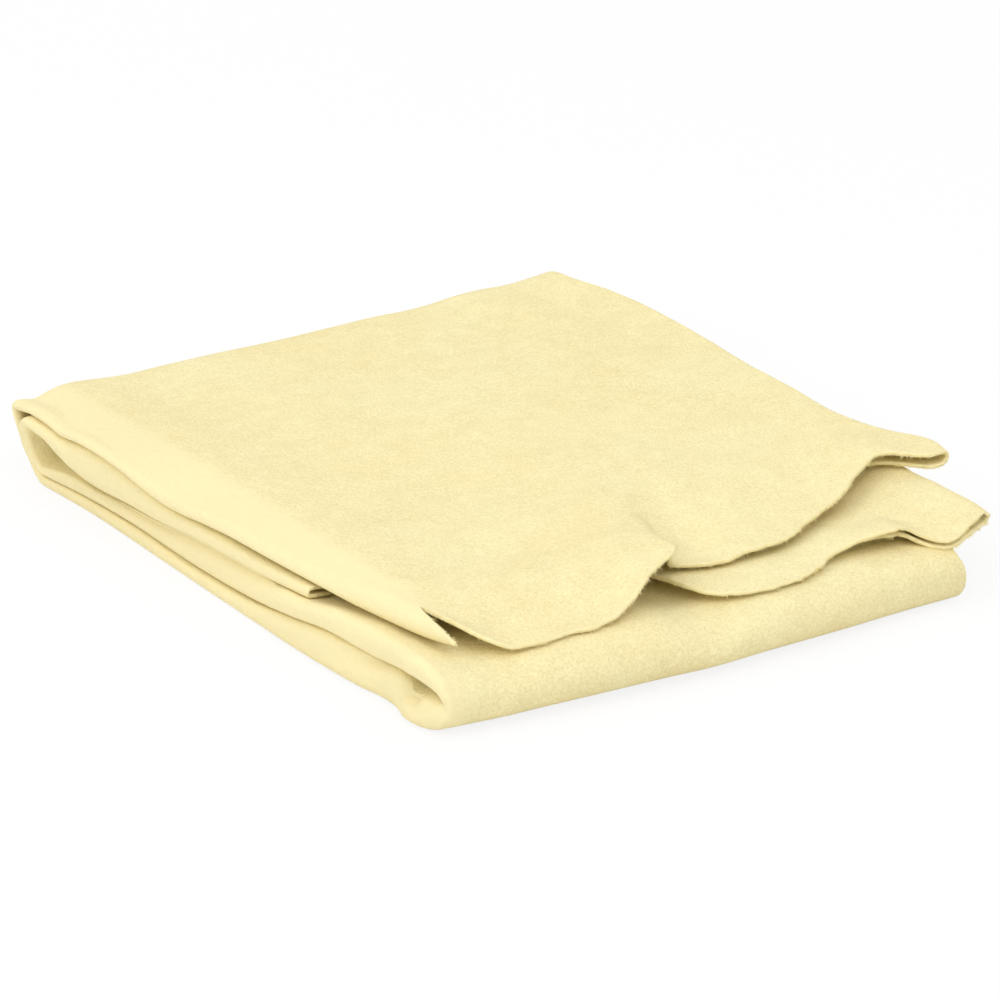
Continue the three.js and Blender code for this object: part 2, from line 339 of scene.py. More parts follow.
def turned(from_ply, to_ply, line, reach, swell):
    """One ply of a bend at a line, from one ply to another."""
    def points(a, u):
        """Points on half an ellipse that bulges by reach, and by a swell that makes it squarer."""
        bulge = np.sin(np.pi * u)
        b = line(a) + reach(a) * bulge + swell * (2 - bulge) * bulge
        rise = (1 - np.cos(np.pi * u)) / 2
        z = mix(from_ply(a, line(a)), to_ply(a, line(a)), rise)
        return np.stack([a + 0 * b, b, z], axis=-1)

    return points


def crowded(count, power):
    """Places from 0 to 1, crowded towards 1 by a power."""
    return 1 - (1 - np.linspace(0, 1, count)) ** power


fold_steps = 15
fold_square = 0.75
toward_fold = crowded(count=82, power=1.7)


def fold_turn(upper, under, reach, square):
    """Half a turn from the end of one ply to the start of the other, bulging left by reach: an ellipse,
    squarer as square falls below 1."""
    angle = np.linspace(0, np.pi, fold_steps + 2)[None, 1:-1]
    swing = np.sign(np.cos(angle)) * np.abs(np.cos(angle)) ** square
    middle = (upper[:, -1:] + under[:, :1]) / 2
    half = (upper[:, -1:] - under[:, :1]) / 2
    nose = middle + half * swing[..., None]
    nose[..., 0] = middle[..., 0] - reach * np.sin(angle) ** square
    return nose


def doubled(outer, inner, rows, fold, reach, edge_place, groove=lambda u, turn: 0):
    """The doubled skin along its strip: outer ply from the right edge to the left fold, half a turn round
    the fold, inner ply back to its right edge. The edge place says where along the cut edges a row lies,
    and the groove how far the fold is pressed in at each turn, -1 to 1."""
    u = rows[:, None]
    start = fold(u) + reach(u)
    upper = outer(mix(outer_edge(edge_place(u)), start, toward_fold[None]), u)
    under = inner(mix(start, inner_edge(edge_place(u)), 1 - toward_fold[None, ::-1]), u)
    nose = fold_turn(upper, under, reach(u), fold_square)
    nose[..., 0] += groove(u, np.linspace(-1, 1, fold_steps)[None])
    return np.concatenate([upper, nose, under], axis=1)


def joined(*strips):
    """Strips that follow on from each other, with the shared rows kept once."""
    return np.concatenate([strips[0]] + [strip[1:] for strip in strips[1:]], axis=0)


# Dents in the left fold: at the front corner, on the base behind it, and where the inner lay overhangs
corner_dent_depth = 4.2
corner_dent_spread = 4
corner_dent_turn = (-0.2, 0.5)
side_dent_depth = 2.2
side_dent_place = 48
side_dent_slant = 10
side_dent_spread = 8
side_dent_turn, side_dent_height = 0.5, 0.5
overhung_depth = 1.8
overhung_turn = (-0.3, 0.9)
overhung_start = (70, 100)
overhung_end = 185
overhung_fade = 30


def corner_dent(run, turn):
    """The upper half of the fold tucks in at the front corner, by a bell along the fold's run."""
    along = bell(run - corner_place, corner_dent_spread)
    return corner_dent_depth * along * eased(turn, *corner_dent_turn)


def base_groove(u, turn):
    """The corner's dent, and a soft slanting one further back along the fold, a bell each way."""
    run = mix(seam_line, roll_axis(0), u)
    along = bell(run - side_dent_place + side_dent_slant * turn, side_dent_spread)
    return corner_dent(run, turn) + side_dent_depth * along * bell(turn - side_dent_turn, side_dent_height)


def roll_groove(u, turn):
    """The corner's dent, carried on round the roll."""
    return corner_dent(roll_axis(0) - roll_run * u, turn)


def middle_groove(u, turn):
    """The top of the middle lay's fold is drawn in under the inner lay, easing in and out along it."""
    b = mix(roll_axis(0), tuck_line, u)
    drawn_in = overhung_depth * eased(-turn, *overhung_turn) * eased(b, *overhung_start)
    return drawn_in * eased(overhung_end - b, 0, overhung_fade)


# How far the fold bulges along the strip, and the rows that each stretch of it has
slim_nose = 0.8
base_front_nose = 3.2
middle_front_nose = 2.6
tuck_nose = 3.0
inner_end_nose = 2.0
base_rows, turn_rows, middle_rows, tuck_rows, inner_rows = (
    np.linspace(0, 1, count) for count in (62, 45, 56, 19, 48)
)
base_strip = doubled(
    outer=flat_lay(ply0, constant(seam_line), roll_axis),
    inner=flat_lay(ply1, constant(seam_line), roll_axis),
    rows=base_rows,
    fold=lambda u: base_fold(mix(seam_line, roll_axis(0), u)),
    reach=lambda u: mix(slim_nose, base_front_nose, eased(u, 0.4, 0.9)),
    edge_place=lambda u: mix(seam_line, roll_axis(width), u),
    groove=base_groove,
)
roll_edge_place = -20
roll_strip = doubled(
    outer=turned(ply0, ply3, roll_axis, lambda a: roll_swell - roll_depth(a), -roll_swell),
    inner=roll_inside,
    rows=turn_rows,
    fold=roll_fold,
    reach=roll_nose,
    edge_place=lambda u: mix(roll_axis(width), roll_edge_place, np.sin(np.pi * u)),
    groove=roll_groove,
)
middle_strip = doubled(
    outer=flat_lay(ply3, roll_axis, constant(tuck_line)),
    inner=flat_lay(ply2, roll_axis, constant(tuck_line)),
    rows=middle_rows,
    fold=lambda u: middle_fold(mix(roll_axis(0), tuck_line, u)),
    reach=lambda u: mix(middle_front_nose, slim_nose, eased(u, 0.1, 0.8)),
    edge_place=lambda u: mix(roll_axis(width), tuck_line, u),
    groove=middle_groove,
)
tuck_reach = 1
tuck_outside = 6
tuck_swell = 2.9
tuck_swell_run = 16


def tuck_bulge(reach):
    """How far a ply of the tuck bulges back: its reach, and a swell that settles from the left fold."""
    return lambda a: reach + tuck_swell * settled(a, tuck_swell_run)


tuck_strip = doubled(
    outer=turned(ply3, ply4, constant(tuck_line), tuck_bulge(tuck_reach), 0),
    inner=turned(ply2, ply5, constant(tuck_line), tuck_bulge(tuck_outside), 0),
    rows=tuck_rows,
    fold=lambda u: mix(middle_fold(tuck_line), inner_fold(tuck_line), eased(u, 0, 1)),
    reach=lambda u: mix(slim_nose, tuck_nose, u),
    edge_place=constant(tuck_line),
)

# The inner lay's raw edge: how far forward it comes at the left fold, and how it bows and wanders
cut_corner = 4
cut_corner_run = 20
cut_bow = 5
cut_bow_run = 34
cut_wander = 1.2


def inner_cut(a):
    """The inner lay's raw front edge: a long sine wave with low ripples, further forward at the left."""
    bow = cut_bow * np.sin(a / cut_bow_run)
    return inner_end - cut_corner * settled(a, cut_corner_run) + bow + cut_wander * ripples(a, 0, 26, 0.7)


inner_strip = doubled(
    outer=flat_lay(ply4, constant(tuck_line), inner_cut),
    inner=flat_lay(ply5, constant(tuck_line), inner_cut),
    rows=inner_rows,
    fold=lambda u: inner_fold(mix(tuck_line, inner_end, u)),
    reach=lambda u: mix(tuck_nose, inner_end_nose, u),
    edge_place=lambda u: mix(tuck_line, inner_end, u),
)
stack_grid = joined(base_strip, roll_strip, middle_strip, tuck_strip, inner_strip)

# The worn rim of a cut edge: where its rows lie on a quarter turn, how uneven they are, and their seed
rim_angles = np.radians([35, 62, 84])
rim_unevenness = 0.22
rim_seed = 5
sharp_angle = np.radians(75)


def widened(grid, half, tag, axis, end):
    """Adds the worn, rounded rim of a cut edge: rows past it on a quarter circle, thinner each time,
    pushed out along the skin by an uneven amount."""
    first, second = (0, 1) if end == 0 else (-1, -2)
    edge = np.take(grid, [first], axis=axis)
    out = edge - np.take(grid, [second], axis=axis)
    out = out / np.linalg.norm(out, axis=-1, keepdims=True)
    flat = np.take(half, [first], axis=axis)
    label = np.take(tag, [first], axis=axis)
    reach = 1 + rim_unevenness * np.random.default_rng(rim_seed + axis).normal(size=flat.shape)
    rows = [
        (edge + out * (flat * np.sin(angle) * reach)[..., None], flat * np.cos(angle), 0 * label + 1)
        for angle in rim_angles
    ]
    body = (grid, half, tag)
    parts = zip(*rows[::-1], body) if end == 0 else zip(body, *rows)
    return [np.concatenate(part, axis=axis) for part in parts]


def facing(grid):
    """Unit normals of a grid of points: the cross product of the steps along its rows and columns."""
    normal = np.cross(np.gradient(grid, axis=0), np.gradient(grid, axis=1))
    return normal / np.linalg.norm(normal, axis=-1, keepdims=True)


def run_lengths(grid, axis):
    """Distance along the skin from the first row or column: the sum of the steps so far."""
    steps = np.linalg.norm(np.diff(grid, axis=axis), axis=-1)
    start = np.zeros_like(np.take(steps, [0], axis=axis))
    return np.concatenate([start, np.cumsum(steps, axis=axis)], axis=axis)


def from_fold(grid, fold_column):
    """Distance along each row of the skin from the middle of the left fold."""
    across = run_lengths(grid, 1)
    return across - across[:, fold_column][:, None]


def skin_object(name, points, faces, stretch_and_highlight, cut):
    """A mesh from points in millimetres and faces of equal corner counts, with the marks that its colours
    follow: where each point lies at rest, how far it lies on a fold, plain and paler as a painted
    highlight, and how far it is cut, 0 to 1."""
    points = ((points + [left, front, 0]) * MM).astype(np.float32)
    corners = faces.shape[1]
    mesh = bpy.data.meshes.new(name)
    mesh.vertices.add(len(points))
    mesh.vertices.foreach_set("co", points.ravel())
    mesh.loops.add(faces.size)
    mesh.loops.foreach_set("vertex_index", faces.astype(np.int32).ravel())
    mesh.polygons.add(len(faces))
    mesh.polygons.foreach_set("loop_start", np.arange(0, faces.size, corners, dtype=np.int32))
    mesh.polygons.foreach_set("use_smooth", np.ones(len(faces), bool))
    rest = mesh.attributes.new("rest", "FLOAT_VECTOR", "POINT")
    rest.data.foreach_set("vector", points.ravel())
    # The fold mark gives the folds their plain, paler colour, partly a painted highlight
    for label, value in (("fold", stretch_and_highlight), ("cut", cut)):
        attribute = mesh.attributes.new(label, "FLOAT", "POINT")
        attribute.data.foreach_set("value", value.astype(np.float32))
    mesh.update(calc_edges=True)
    mesh.validate()
    mesh.set_sharp_from_angle(angle=sharp_angle)
    piece = bpy.data.objects.new(name, mesh)
    bpy.context.collection.objects.link(piece)
    return piece


def hide_piece(name, grid, stretch_and_highlight):
    """Closes the skin round its middle surface: a face half the thickness to either side, worn rims
    along the cut edges and a plain first end, where the skin carries on in the other piece. Returns the
    object and the skin's flat area in square millimetres, the sum of its panels."""
    half = np.full(grid.shape[:2], thick / 2)
    cut = np.zeros(grid.shape[:2])
    normal = facing(grid)
    panel = np.linalg.norm(np.cross(np.diff(grid, axis=0)[:, :-1], np.diff(grid, axis=1)[:-1]), axis=-1)
    for axis, end in ((0, 1), (1, 0), (1, 1)):
        grid, half, cut = widened(grid, half, cut, axis, end)
        pad = [(0, 0), (0, 0)]
        pad[axis] = (len(rim_angles), 0) if end == 0 else (0, len(rim_angles))
        stretch_and_highlight = np.pad(stretch_and_highlight, pad, mode="edge")
        normal = np.pad(normal, pad + [(0, 0)], mode="edge")
    rows, columns = half.shape
    faces_up = grid + normal * half[..., None]
    faces_down = grid - normal * half[..., None]
    points = np.concatenate([faces_up.reshape(-1, 3), faces_down.reshape(-1, 3)])
    number = np.arange(rows * columns).reshape(rows, columns)
    under = number + rows * columns
    quads = [
        (number[:-1, :-1], number[1:, :-1], number[1:, 1:], number[:-1, 1:]),
        (under[:-1, :-1], under[:-1, 1:], under[1:, 1:], under[1:, :-1]),
        (number[0, :-1], number[0, 1:], under[0, 1:], under[0, :-1]),
        (number[-1, 1:], number[-1, :-1], under[-1, :-1], under[-1, 1:]),
        (number[1:, 0], number[:-1, 0], under[:-1, 0], under[1:, 0]),
        (number[:-1, -1], number[1:, -1], under[1:, -1], under[:-1, -1]),
    ]
    quads = np.concatenate([np.stack([np.ravel(corner) for corner in quad], axis=1) for quad in quads])
    piece = skin_object(name, points, quads, np.tile(stretch_and_highlight.ravel(), 2), np.tile(cut.ravel(), 2))
    return piece, panel.sum()


def linear(red, green, blue):
    """A colour given as it looks on screen, 0 to 255, as the light values that a shader takes: the
    screen's power curve undone."""
    share = np.array([red, green, blue]) / 255
    light = np.where(share <= 0.04045, share / 12.92, ((share + 0.055) / 1.055) ** 2.4)
    return (*light, 1.0)


buff = linear(254, 240, 186)
pale_buff = linear(255, 245, 195)
# Plain colour of the nap that the folds stretch, a little paler than the rest: partly a painted highlight
# on the folds, which face the left lamp
stretched_and_highlight_buff = linear(250, 236, 184)
cut_buff = linear(252, 240, 188)
patch_grey = linear(250, 249, 246)
nap_grey = linear(241, 237, 227)
white = linear(255, 255, 255)


def chamois_leather():
    """Suede: pale buff-yellow with soft mottling, times the shade of a short felted nap, plain along the
    folds where they stretch the nap and a little paler there as a painted highlight, and a fibrous yellow
    on the cut edges."""
    material = bpy.data.materials.new("chamois")
    material.use_nodes = True
    nodes = material.node_tree.nodes
    links = material.node_tree.links
    shader = nodes["Principled BSDF"]
    shader.inputs["Roughness"].default_value = 0.92
    shader.inputs["Specular IOR Level"].default_value = 0.15
    shader.inputs["Sheen Weight"].default_value = 0.1
    shader.inputs["Sheen Roughness"].default_value = 0.55
    shader.inputs["Sheen Tint"].default_value = (1, 0.9, 0.68, 1)
    skin = nodes.new("ShaderNodeAttribute")
    skin.attribute_name = "rest"

    def noise(scale, detail, roughness):
        """Noise over the places of the skin at rest, with about scale grains to the metre."""
        node = nodes.new("ShaderNodeTexNoise")
        node.inputs["Scale"].default_value = scale
        node.inputs["Detail"].default_value = detail
        node.inputs["Roughness"].default_value = roughness
        links.new(skin.outputs["Vector"], node.inputs["Vector"])
        return node.outputs["Fac"]

    def shade(value, start, end, first, last):
        """A colour ramp: the first colour up to start, the last from end on, straight between."""
        ramp = nodes.new("ShaderNodeValToRGB")
        ramp.color_ramp.elements[0].position = start
        ramp.color_ramp.elements[0].color = first
        ramp.color_ramp.elements[1].position = end
        ramp.color_ramp.elements[1].color = last
        links.new(value, ramp.inputs["Fac"])
        return ramp.outputs["Color"]

    def blended(kind, factor, one, other):
        """Two colours, each a value or a socket, put together by a mix node."""
        node = nodes.new("ShaderNodeMix")
        node.data_type = "RGBA"
        node.blend_type = kind
        if isinstance(factor, float):
            node.inputs["Factor"].default_value = factor
        else:
            links.new(factor, node.inputs["Factor"])
        for socket, colour in ((node.inputs[6], one), (node.inputs[7], other)):
            if isinstance(colour, tuple):
                socket.default_value = colour
            else:
                links.new(colour, socket)
        return node.outputs[2]

    def attribute(label):
        """One of the mesh's own marks, 0 to 1."""
        node = nodes.new("ShaderNodeAttribute")
        node.attribute_name = label
        return node.outputs["Fac"]

    def raised(height, distance, strength, below):
        """A bump of that many metres on the surface below."""
        node = nodes.new("ShaderNodeBump")
        node.inputs["Distance"].default_value = distance
        node.inputs["Strength"].default_value = strength
        links.new(height, node.inputs["Height"])
        if below is not None:
            links.new(below, node.inputs["Normal"])
        return node.outputs["Normal"]

    mottle = shade(noise(scale=26, detail=3, roughness=0.55), 0.32, 0.68, buff, pale_buff)
    patches = shade(noise(scale=150, detail=4, roughness=0.6), 0.35, 0.65, patch_grey, white)
    nap = noise(scale=1300, detail=5, roughness=0.7)
    nap_shade = shade(nap, 0.38, 0.62, nap_grey, white)
    colour = blended("MULTIPLY", 1.0, blended("MULTIPLY", 1.0, mottle, patches), nap_shade)
    colour = blended("MIX", attribute("fold"), colour, stretched_and_highlight_buff)
    colour = blended("MIX", attribute("cut"), colour, cut_buff)
    links.new(colour, shader.inputs["Base Color"])
    pebble = noise(scale=420, detail=3, roughness=0.6)
    pebbled = raised(pebble, distance=0.0006, strength=0.7, below=None)
    links.new(raised(nap, distance=0.0003, strength=0.9, below=pebbled), shader.inputs["Normal"])
    return material


leather = chamois_leather()
# How far to either side of each fold's middle its plain, paler colour, partly a painted highlight, reaches
stretch_and_highlight_width = 7
stack_stretch_and_highlight = bell(from_fold(stack_grid, len(toward_fold) + fold_steps // 2), stretch_and_highlight_width)
hide_stack, stack_area = hide_piece("hide_stack", stack_grid, stack_stretch_and_highlight)
hide_stack.data.materials.append(leather)
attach(hide_stack, "folded_stack")
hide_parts("base_panel", "front_fold", "middle_panel", "inner_fold", "inner_panel")

# Top flap
# The other end of the same strip, turned up round the back and laid forward over the stack. Its left fold
# stands puffed, its raw front edge waves over the roll, and both right margins have curled under.
flap_line = 223.4
flap_tip = 11.0
hem_end = 41.0
lower_right = width + 10.9
ridge_line = 15.0
ridge_spread = 19
crest = 25.3

# Raw front edges of the upper and lower plies: how far back each point lies, and its height
upper_cut = drawn([
    (10, 36), (12.8, 30.6), (14.2, 25.6), (15.8, 20.8), (17.6, 16.4), (19.8, 12.6), (23, 9.6),
    (28.2, 7.9), (36.5, 7.6), (44.8, 8.3), (54, 8), (61, 9.6), (68, 11.6), (75, 15.4), (79, 19.4),
    (82.4, 23.6), (84.4, 26.6), (87, 27.8), (93, 26.8), (100.7, 24.4), (106.4, 24.1), (113, 25.2),
    (120, 25.6), (126, 26.8), (136, 31.5), (145, 35.8), (152.7, 39), (158.6, 42.7), (167.4, 47.9),
    (173.2, 50), (176.8, 49), (186.6, 41.6), (191.5, 41),
])
upper_edge_height = drawn([
    (10, 24.8), (12.8, 25), (15.8, 24), (19, 22.2), (23, 20.2), (28.2, 18.2), (36.3, 18), (44.8, 18.2),
    (54, 18.6), (61, 19.8), (68, 22), (75, 25), (79, 27), (82.4, 28), (84, 27.3), (85.8, 24.4),
    (87.8, 22), (92, 20.7), (100.7, 19.8), (106.4, 19.8), (111.3, 20.3), (119.6, 20.4), (126, 20.2),
    (136, 20.7), (145, 21.2), (152.7, 22), (158.6, 23), (167.4, 25), (173.2, 26.6), (176.8, 26.9),
    (186.6, 26.8), (191.5, 27.6),
])
lower_cut = drawn([
    (11, 17), (14, 26), (18, 32), (26, 35), (51, 36), (70, 35), (81, 34.4), (85, 31.6), (87.2, 24.5),
    (89, 16), (92.1, 11.4), (98.1, 8.7), (104.4, 7.4), (109.4, 7.4), (119.6, 8.6), (126, 11),
    (132, 14.4), (139.2, 16.1), (144.9, 15.7), (152.5, 14.6), (157.7, 14.8), (161.8, 13.6), (165, 9.6),
    (168.5, 8), (174.5, 9.4), (182.3, 12.9),
])
lower_edge_height = drawn([
    (11, 22.2), (16, 20.9), (26, 19.4), (51, 18), (80, 17.6), (91.4, 17.3), (119.6, 17.4), (132, 18),
    (139.2, 19), (144.9, 20.2), (152.5, 21.1), (157.7, 20.6), (161.8, 18.2), (165, 17.1), (168.5, 17.2),
    (174.5, 18.8), (182.3, 20.6),
])

# Middle height and half height of the flap's own fold along its left side, how far its back edge sags,
# the line of its hump and the line of its right hem
flap_nose = drawn([
    (10, 23.5), (16, 23.1), (29, 22.1), (44, 21.3), (68, 21.4), (91, 21.9), (109, 22.2), (122, 21.5),
    (137, 20.3), (156, 21.5), (170, 22.2), (188, 21.5), (208, 20.3), (223, 17.5),
])
flap_half = drawn([(10, 1.6), (30, 1.5), (60, 1.15), (137, 1.15), (170, 1.5), (223, 1.6)])
back_sag = drawn([
    (0, 1.3), (14, 2.2), (30, 2.8), (60, 1.9), (90, 2.8), (126, 3), (138, 3.3), (146, 3.1), (154, 2.3),
    (162, 2.1), (172, 2.3), (180, 1.6), (190, 0.4),
])
hump_line = drawn([(20, 81.8), (24, 82.8), (34, 87.4), (45, 92), (65, 97), (84, 99.5), (110, 100)])
upper_hem = drawn([
    (41, 189.6), (48.5, 191.2), (56, 190.6), (67, 188), (81, 186), (108, 187.4), (127, 187.6),
    (160, 189.4), (193, 190.2), (212, 188.4), (224, 186),
])

# The flap's left fold: where it starts at the back, how far it sweeps in, and how late
fold_start = -2.5
fold_sweep = 15
fold_sweep_ease = 2.5


def flap_fold(b):
    """How far in the flap's left fold lies: a power curve that sweeps right towards the front."""
    share = np.clip((flap_line - b) / flap_line, 0, 1)
    return fold_start + fold_sweep * share ** fold_sweep_ease


# The dip past the tuck, and the lower ply's lift where it lies on its own turned-in margin
tuck_dip = 1.3
tuck_dip_span = (213, 224)
tuck_dip_run = 30
leaf_gap = thick + 0.15
on_margin = (125, 150)


def resting(a, b):
    """Height of a ply that lies on the inner lay, dips past the tuck, and in front of the inner lay lies
    over the roll's shoulder, a quarter of the roll's own squared ellipse."""
    lift = thick + lay_gap
    dip = tuck_dip * eased(b, *tuck_dip_span) * settled(a, tuck_dip_run)
    ledge = ply5(a, np.maximum(b, inner_end)) + lift - dip
    past = eased(inner_end - b, 0, 2 * inner_end)
    axis = roll_axis(a)
    behind = np.maximum(b, axis)
    crown = ply3_full(a, behind) + hump_hollow(a, behind) + lift
    core = (thick / 2 + crown - lift) / 2
    share = np.clip((axis - b) / (roll_depth(a) + lift), 0, 1)
    steep = roll_depth(a) + roll_swell
    root = np.sqrt(steep ** 2 - 4 * roll_swell * roll_depth(a) * share)
    round_roll = 2 * roll_depth(a) * share / (steep + root)
    shoulder = mix(core, crown, np.sqrt(np.maximum(1 - round_roll ** 2, 0)))
    return upper_of(mix(ledge, thick / 2, past), shoulder, rounding=1.0)


def brought(level, cut, height, run, drift):
    """Brings a ply to a given height along its cut edge. The drift is how far across the edge's form
    moves on its way back."""
    def surface(a, b):
        """The ply's level, and what it is short of at the edge, fading by a cubic over a run behind it."""
        across = a - drift(a, b)
        behind = np.clip((b - cut(across)) / run, 0, 1)
        short = height(across) - level(across, cut(across))
        return level(a, b) + short * (1 - behind) ** 2 * (1 + 2 * behind)

    return surface


def lower_floor(a, b):
    """The lowest that the lower ply can lie: at rest, and a leaf's gap higher over its own margin."""
    return resting(a, b) + leaf_gap * eased(a, *on_margin)


# How the lower ply rises towards its right hem, less at the very front and at the back
hem_rise = 3.4
hem_rise_span = (146, 184)
hem_tip_rise = 2
hem_tip_span = (162, 184)
hem_front = (8, 36)
hem_back = (150, 224)
hem_back_loss = 0.5
lower_lift_run = 12


def lower_level(a, b):
    """The lower ply: on its floor, eased up towards its right hem, and lifted along the flap's fold."""
    rise = hem_rise * eased(a, *hem_rise_span) + hem_tip_rise * eased(a, *hem_tip_span)
    lying = lower_floor(a, b) + rise * eased(b, *hem_front) * (1 - hem_back_loss * eased(b, *hem_back))
    lifted = flap_nose(b) - flap_half(b)
    lifting = settled(a - flap_fold(b), lower_lift_run)
    return upper_of(lying, lying + (lifted - lying) * lifting, rounding=0.3)


lower_edged = brought(lower_level, lower_cut, lower_edge_height, run=20, drift=lambda a, b: 0)


def ply6(a, b):
    """The lower ply with its edge at its height, nowhere below its floor."""
    return upper_of(lower_edged(a, b), lower_floor(a, b), rounding=0.2)


# The upper ply's loft over what it lies on, its rise to the right, its lift along the hem, and its ripples
shoulder_back = 17
flap_loft = 4.8
right_rise = 3
right_rise_run = 136
hem_loft = 1.2
hem_loft_span = (165, 188)
hem_loft_back, hem_loft_length = 70, 35
sag_start = 140
slow_ripple = 0.22
quick_ripple = 0.1
ripple_span = (14, 30)

# The hump: its height, the line that it fades back from and its spread to either side, then the valley
# on its right, and how its crest leans
hump_height = 6.6
hump_front = 24
hump_fade = 42
hump_left_spread = 24
hump_right_spread = 3.4
hump_widening = 0.42
valley_depth = 3.2
valley_across, valley_width = 11, 10
valley_back, valley_length = 46, 22
drift_spread = 20
lean_over, lean_over_spread = 9.2, 4.4
lean_away, lean_away_spread = 3, 16
lean_front = 22
lean_fade = 16


def upper_level(a, b):
    """The upper ply: up from the flap's fold to a long ridge, a shallow valley, then a slow rise to the
    right. A bell-shaped hump that widens and fades towards the back is added, with a valley beside it."""
    nose = flap_fold(b)
    puff = 1 - upper_of(1 - (a - nose) / (ridge_line - nose), 0, rounding=0.16)
    lying = resting(a, np.maximum(b, roll_axis(a) + shoulder_back))
    lifted_hem = hem_loft * eased(a, *hem_loft_span) * bell(b - hem_loft_back, hem_loft_length)
    far = lying + flap_loft + right_rise * a / right_rise_run + lifted_hem
    ridge = far + (crest - far) * bell(np.maximum(a - ridge_line, 0), ridge_spread)
    ridge = ridge - back_sag(a) * eased(b, sag_start, flap_line)
    level = mix(flap_nose(b) + flap_half(b), ridge, puff)
    side = a - hump_line(b)
    behind = np.maximum(b - hump_front, 0)
    spread = np.where(side < 0, hump_left_spread, hump_right_spread + hump_widening * behind)
    hump = hump_height * bell(side, spread) * np.exp(-behind / hump_fade)
    valley = valley_depth * bell(side - valley_across, valley_width) * bell(b - valley_back, valley_length)
    soft = slow_ripple * ripples(a, b, 62, 0.4) + quick_ripple * ripples(a, b, 27, 1.3)
    return level + (hump - valley) + soft * eased(a, *ripple_span)


def hump_drift(a, b):
    """The step at the hump's foot follows the hump's own line, by a bell about it."""
    return (hump_line(b) - hump_line(upper_cut(a))) * bell(a - hump_line(b), drift_spread)


upper_edged = brought(upper_level, upper_cut, upper_edge_height, run=32, drift=hump_drift)
ply_gap = 0.2
over_lower_edge = (-3, 2)


def ply7(a, b):
    """The upper ply with its edge at its height, nowhere below the lower ply or what it rests on."""
    covered = eased(b - lower_cut(a), *over_lower_edge)
    floor = mix(resting(a, b), ply6(a, b) + thick + ply_gap, covered)
    return upper_of(upper_edged(a, b), floor, rounding=0.3)


def leaning(a, b):
    """The hump's crest leans over to the right at the front, past the foot of its own right face: a
    narrow bell to the right less a broad one, fading towards the back."""
    side = a - hump_line(b)
    lean = lean_over * bell(side, lean_over_spread) - lean_away * bell(side, lean_away_spread)
    return a + lean * np.exp(-np.maximum(b - lean_front, 0) / lean_fade)


# The bend round the back: how square it is, how far from the left fold it is loose, and the power that
# lifts its fullest part there
back_swell = 12.4
back_loose_run = 36
back_loose_lift = 1.8


def back_turn(from_ply, to_ply, reach):
    """One ply of the bend round the back."""
    def points(a, u):
        """Points on a half sine with a swell that makes it square over most of its width, and fullest
        above its middle at the left fold."""
        loose = settled(a, back_loose_run)
        bulge = np.sin(np.pi * u ** mix(1, back_loose_lift, loose))
        swell = back_swell * (1 - loose) * (2 - bulge) * bulge
        b = mix(base_end, flap_line, u) + reach(a) * bulge + swell
        rise = (1 - np.cos(np.pi * u)) / 2
        z = mix(from_ply(a, base_end), to_ply(a, flap_line), rise)
        return np.stack([a + 0 * b, b, z], axis=-1)

    return points


# How far the shears wandered, and the lengths of their long and short waves
shear_wander = 0.4
long_snip = 11
short_snip = 4.3


def ragged(cut, turn):
    """A cut line as shears leave it."""
    def line(a):
        """The cut with long and short ripples."""
        long_waves = shear_wander * ripples(a, 0, long_snip, turn)
        return cut(a) + long_waves + shear_wander * ripples(a, 0, short_snip, turn + 1)

    return line


def upper_lay(a, u):
    """The upper ply from the back straight to its raw edge, leaning where the hump does."""
    b = mix(flap_line, ragged(upper_cut, 0.6)(a), u)
    return np.stack([leaning(a, b), b, ply7(a, b)], axis=-1)


# A turned-under margin is pressed flat over this run past its arc, once it is turned by this angle
press_run = 12
press_turn = 2.6


def curled(edge, margin, radius, most, gap, share):
    """A margin that rolls under: an arc up to the angle most, then straight on, and pressed to a gap from
    the ply above once it has turned right round. Gives the place across, the drop and how far it lies
    past the arc."""
    run = margin * share
    angle = np.minimum(run / radius, most)
    past = run - radius * angle
    drop = radius * (1 - np.cos(angle)) + past * np.sin(angle)
    pressed = (2 * radius - gap) * eased(past, 0, press_run) * eased(most, press_turn, np.pi)
    return edge + radius * np.sin(angle) + past * np.cos(angle), drop - pressed, past


# Places across a margin and across the upper and lower plies, and along the seam and the flap
margin_steps = 21
margin_share = np.linspace(1, 0, margin_steps + 1)[:-1]
upper_columns = crowded(count=124, power=1.15)
lower_columns = crowded(count=100, power=1.15)
seam_rows = np.linspace(0, 1, 5)
flap_rows = crowded(count=108, power=1.3)

# Powers that blunt the tip of the flap's fold, and where along the flap the margins start to stand back
tip_blunt = 0.3
tip_slant = 0.8
setback_start = 0.9
nothing = constant(0.0)


def flap_part(
    outer, inner, rows, fold, reach, edges, margins, radii, curl, square,
    gaps=(leaf_gap, leaf_gap), setbacks=(nothing, nothing), tip=nothing,
):
    """Rows of the flap's doubled skin, as for the stack, with a curled margin beyond each right edge that
    stands back from the raw edge by its setback, and a tip at the front of the fold, blunted by powers of
    a sine and an ease. Pairs are given outer first."""
    u = rows[:, None]
    start = fold(u) + reach(u)
    upper = outer(mix(edges[0](u), start, upper_columns[None]), u)
    under = inner(mix(start, edges[1](u), 1 - lower_columns[None, ::-1]), u)
    nose = fold_turn(upper, under, reach(u), square(u))
    turn = np.linspace(0, 1, fold_steps + 2)[None, 1:-1]
    nose[..., 1] -= tip(u) * np.sin(np.pi * turn) ** tip_blunt * eased(turn, 0, 0.5) ** tip_slant
    rims = []
    pairs = zip((outer, inner), edges, margins, radii, gaps, setbacks)
    for ply, edge, margin, radius, gap, setback in pairs:
        place, drop, past = curled(edge(u), margin(u), radius(u), curl(u), gap, margin_share[None])
        points = ply(place, u)
        points[..., 1] += setback(past) * eased(u, setback_start, 1)
        points[..., 2] -= drop
        rims.append(points)
    return np.concatenate([rims[0], upper, nose, under, rims[1][:, ::-1]], axis=1)


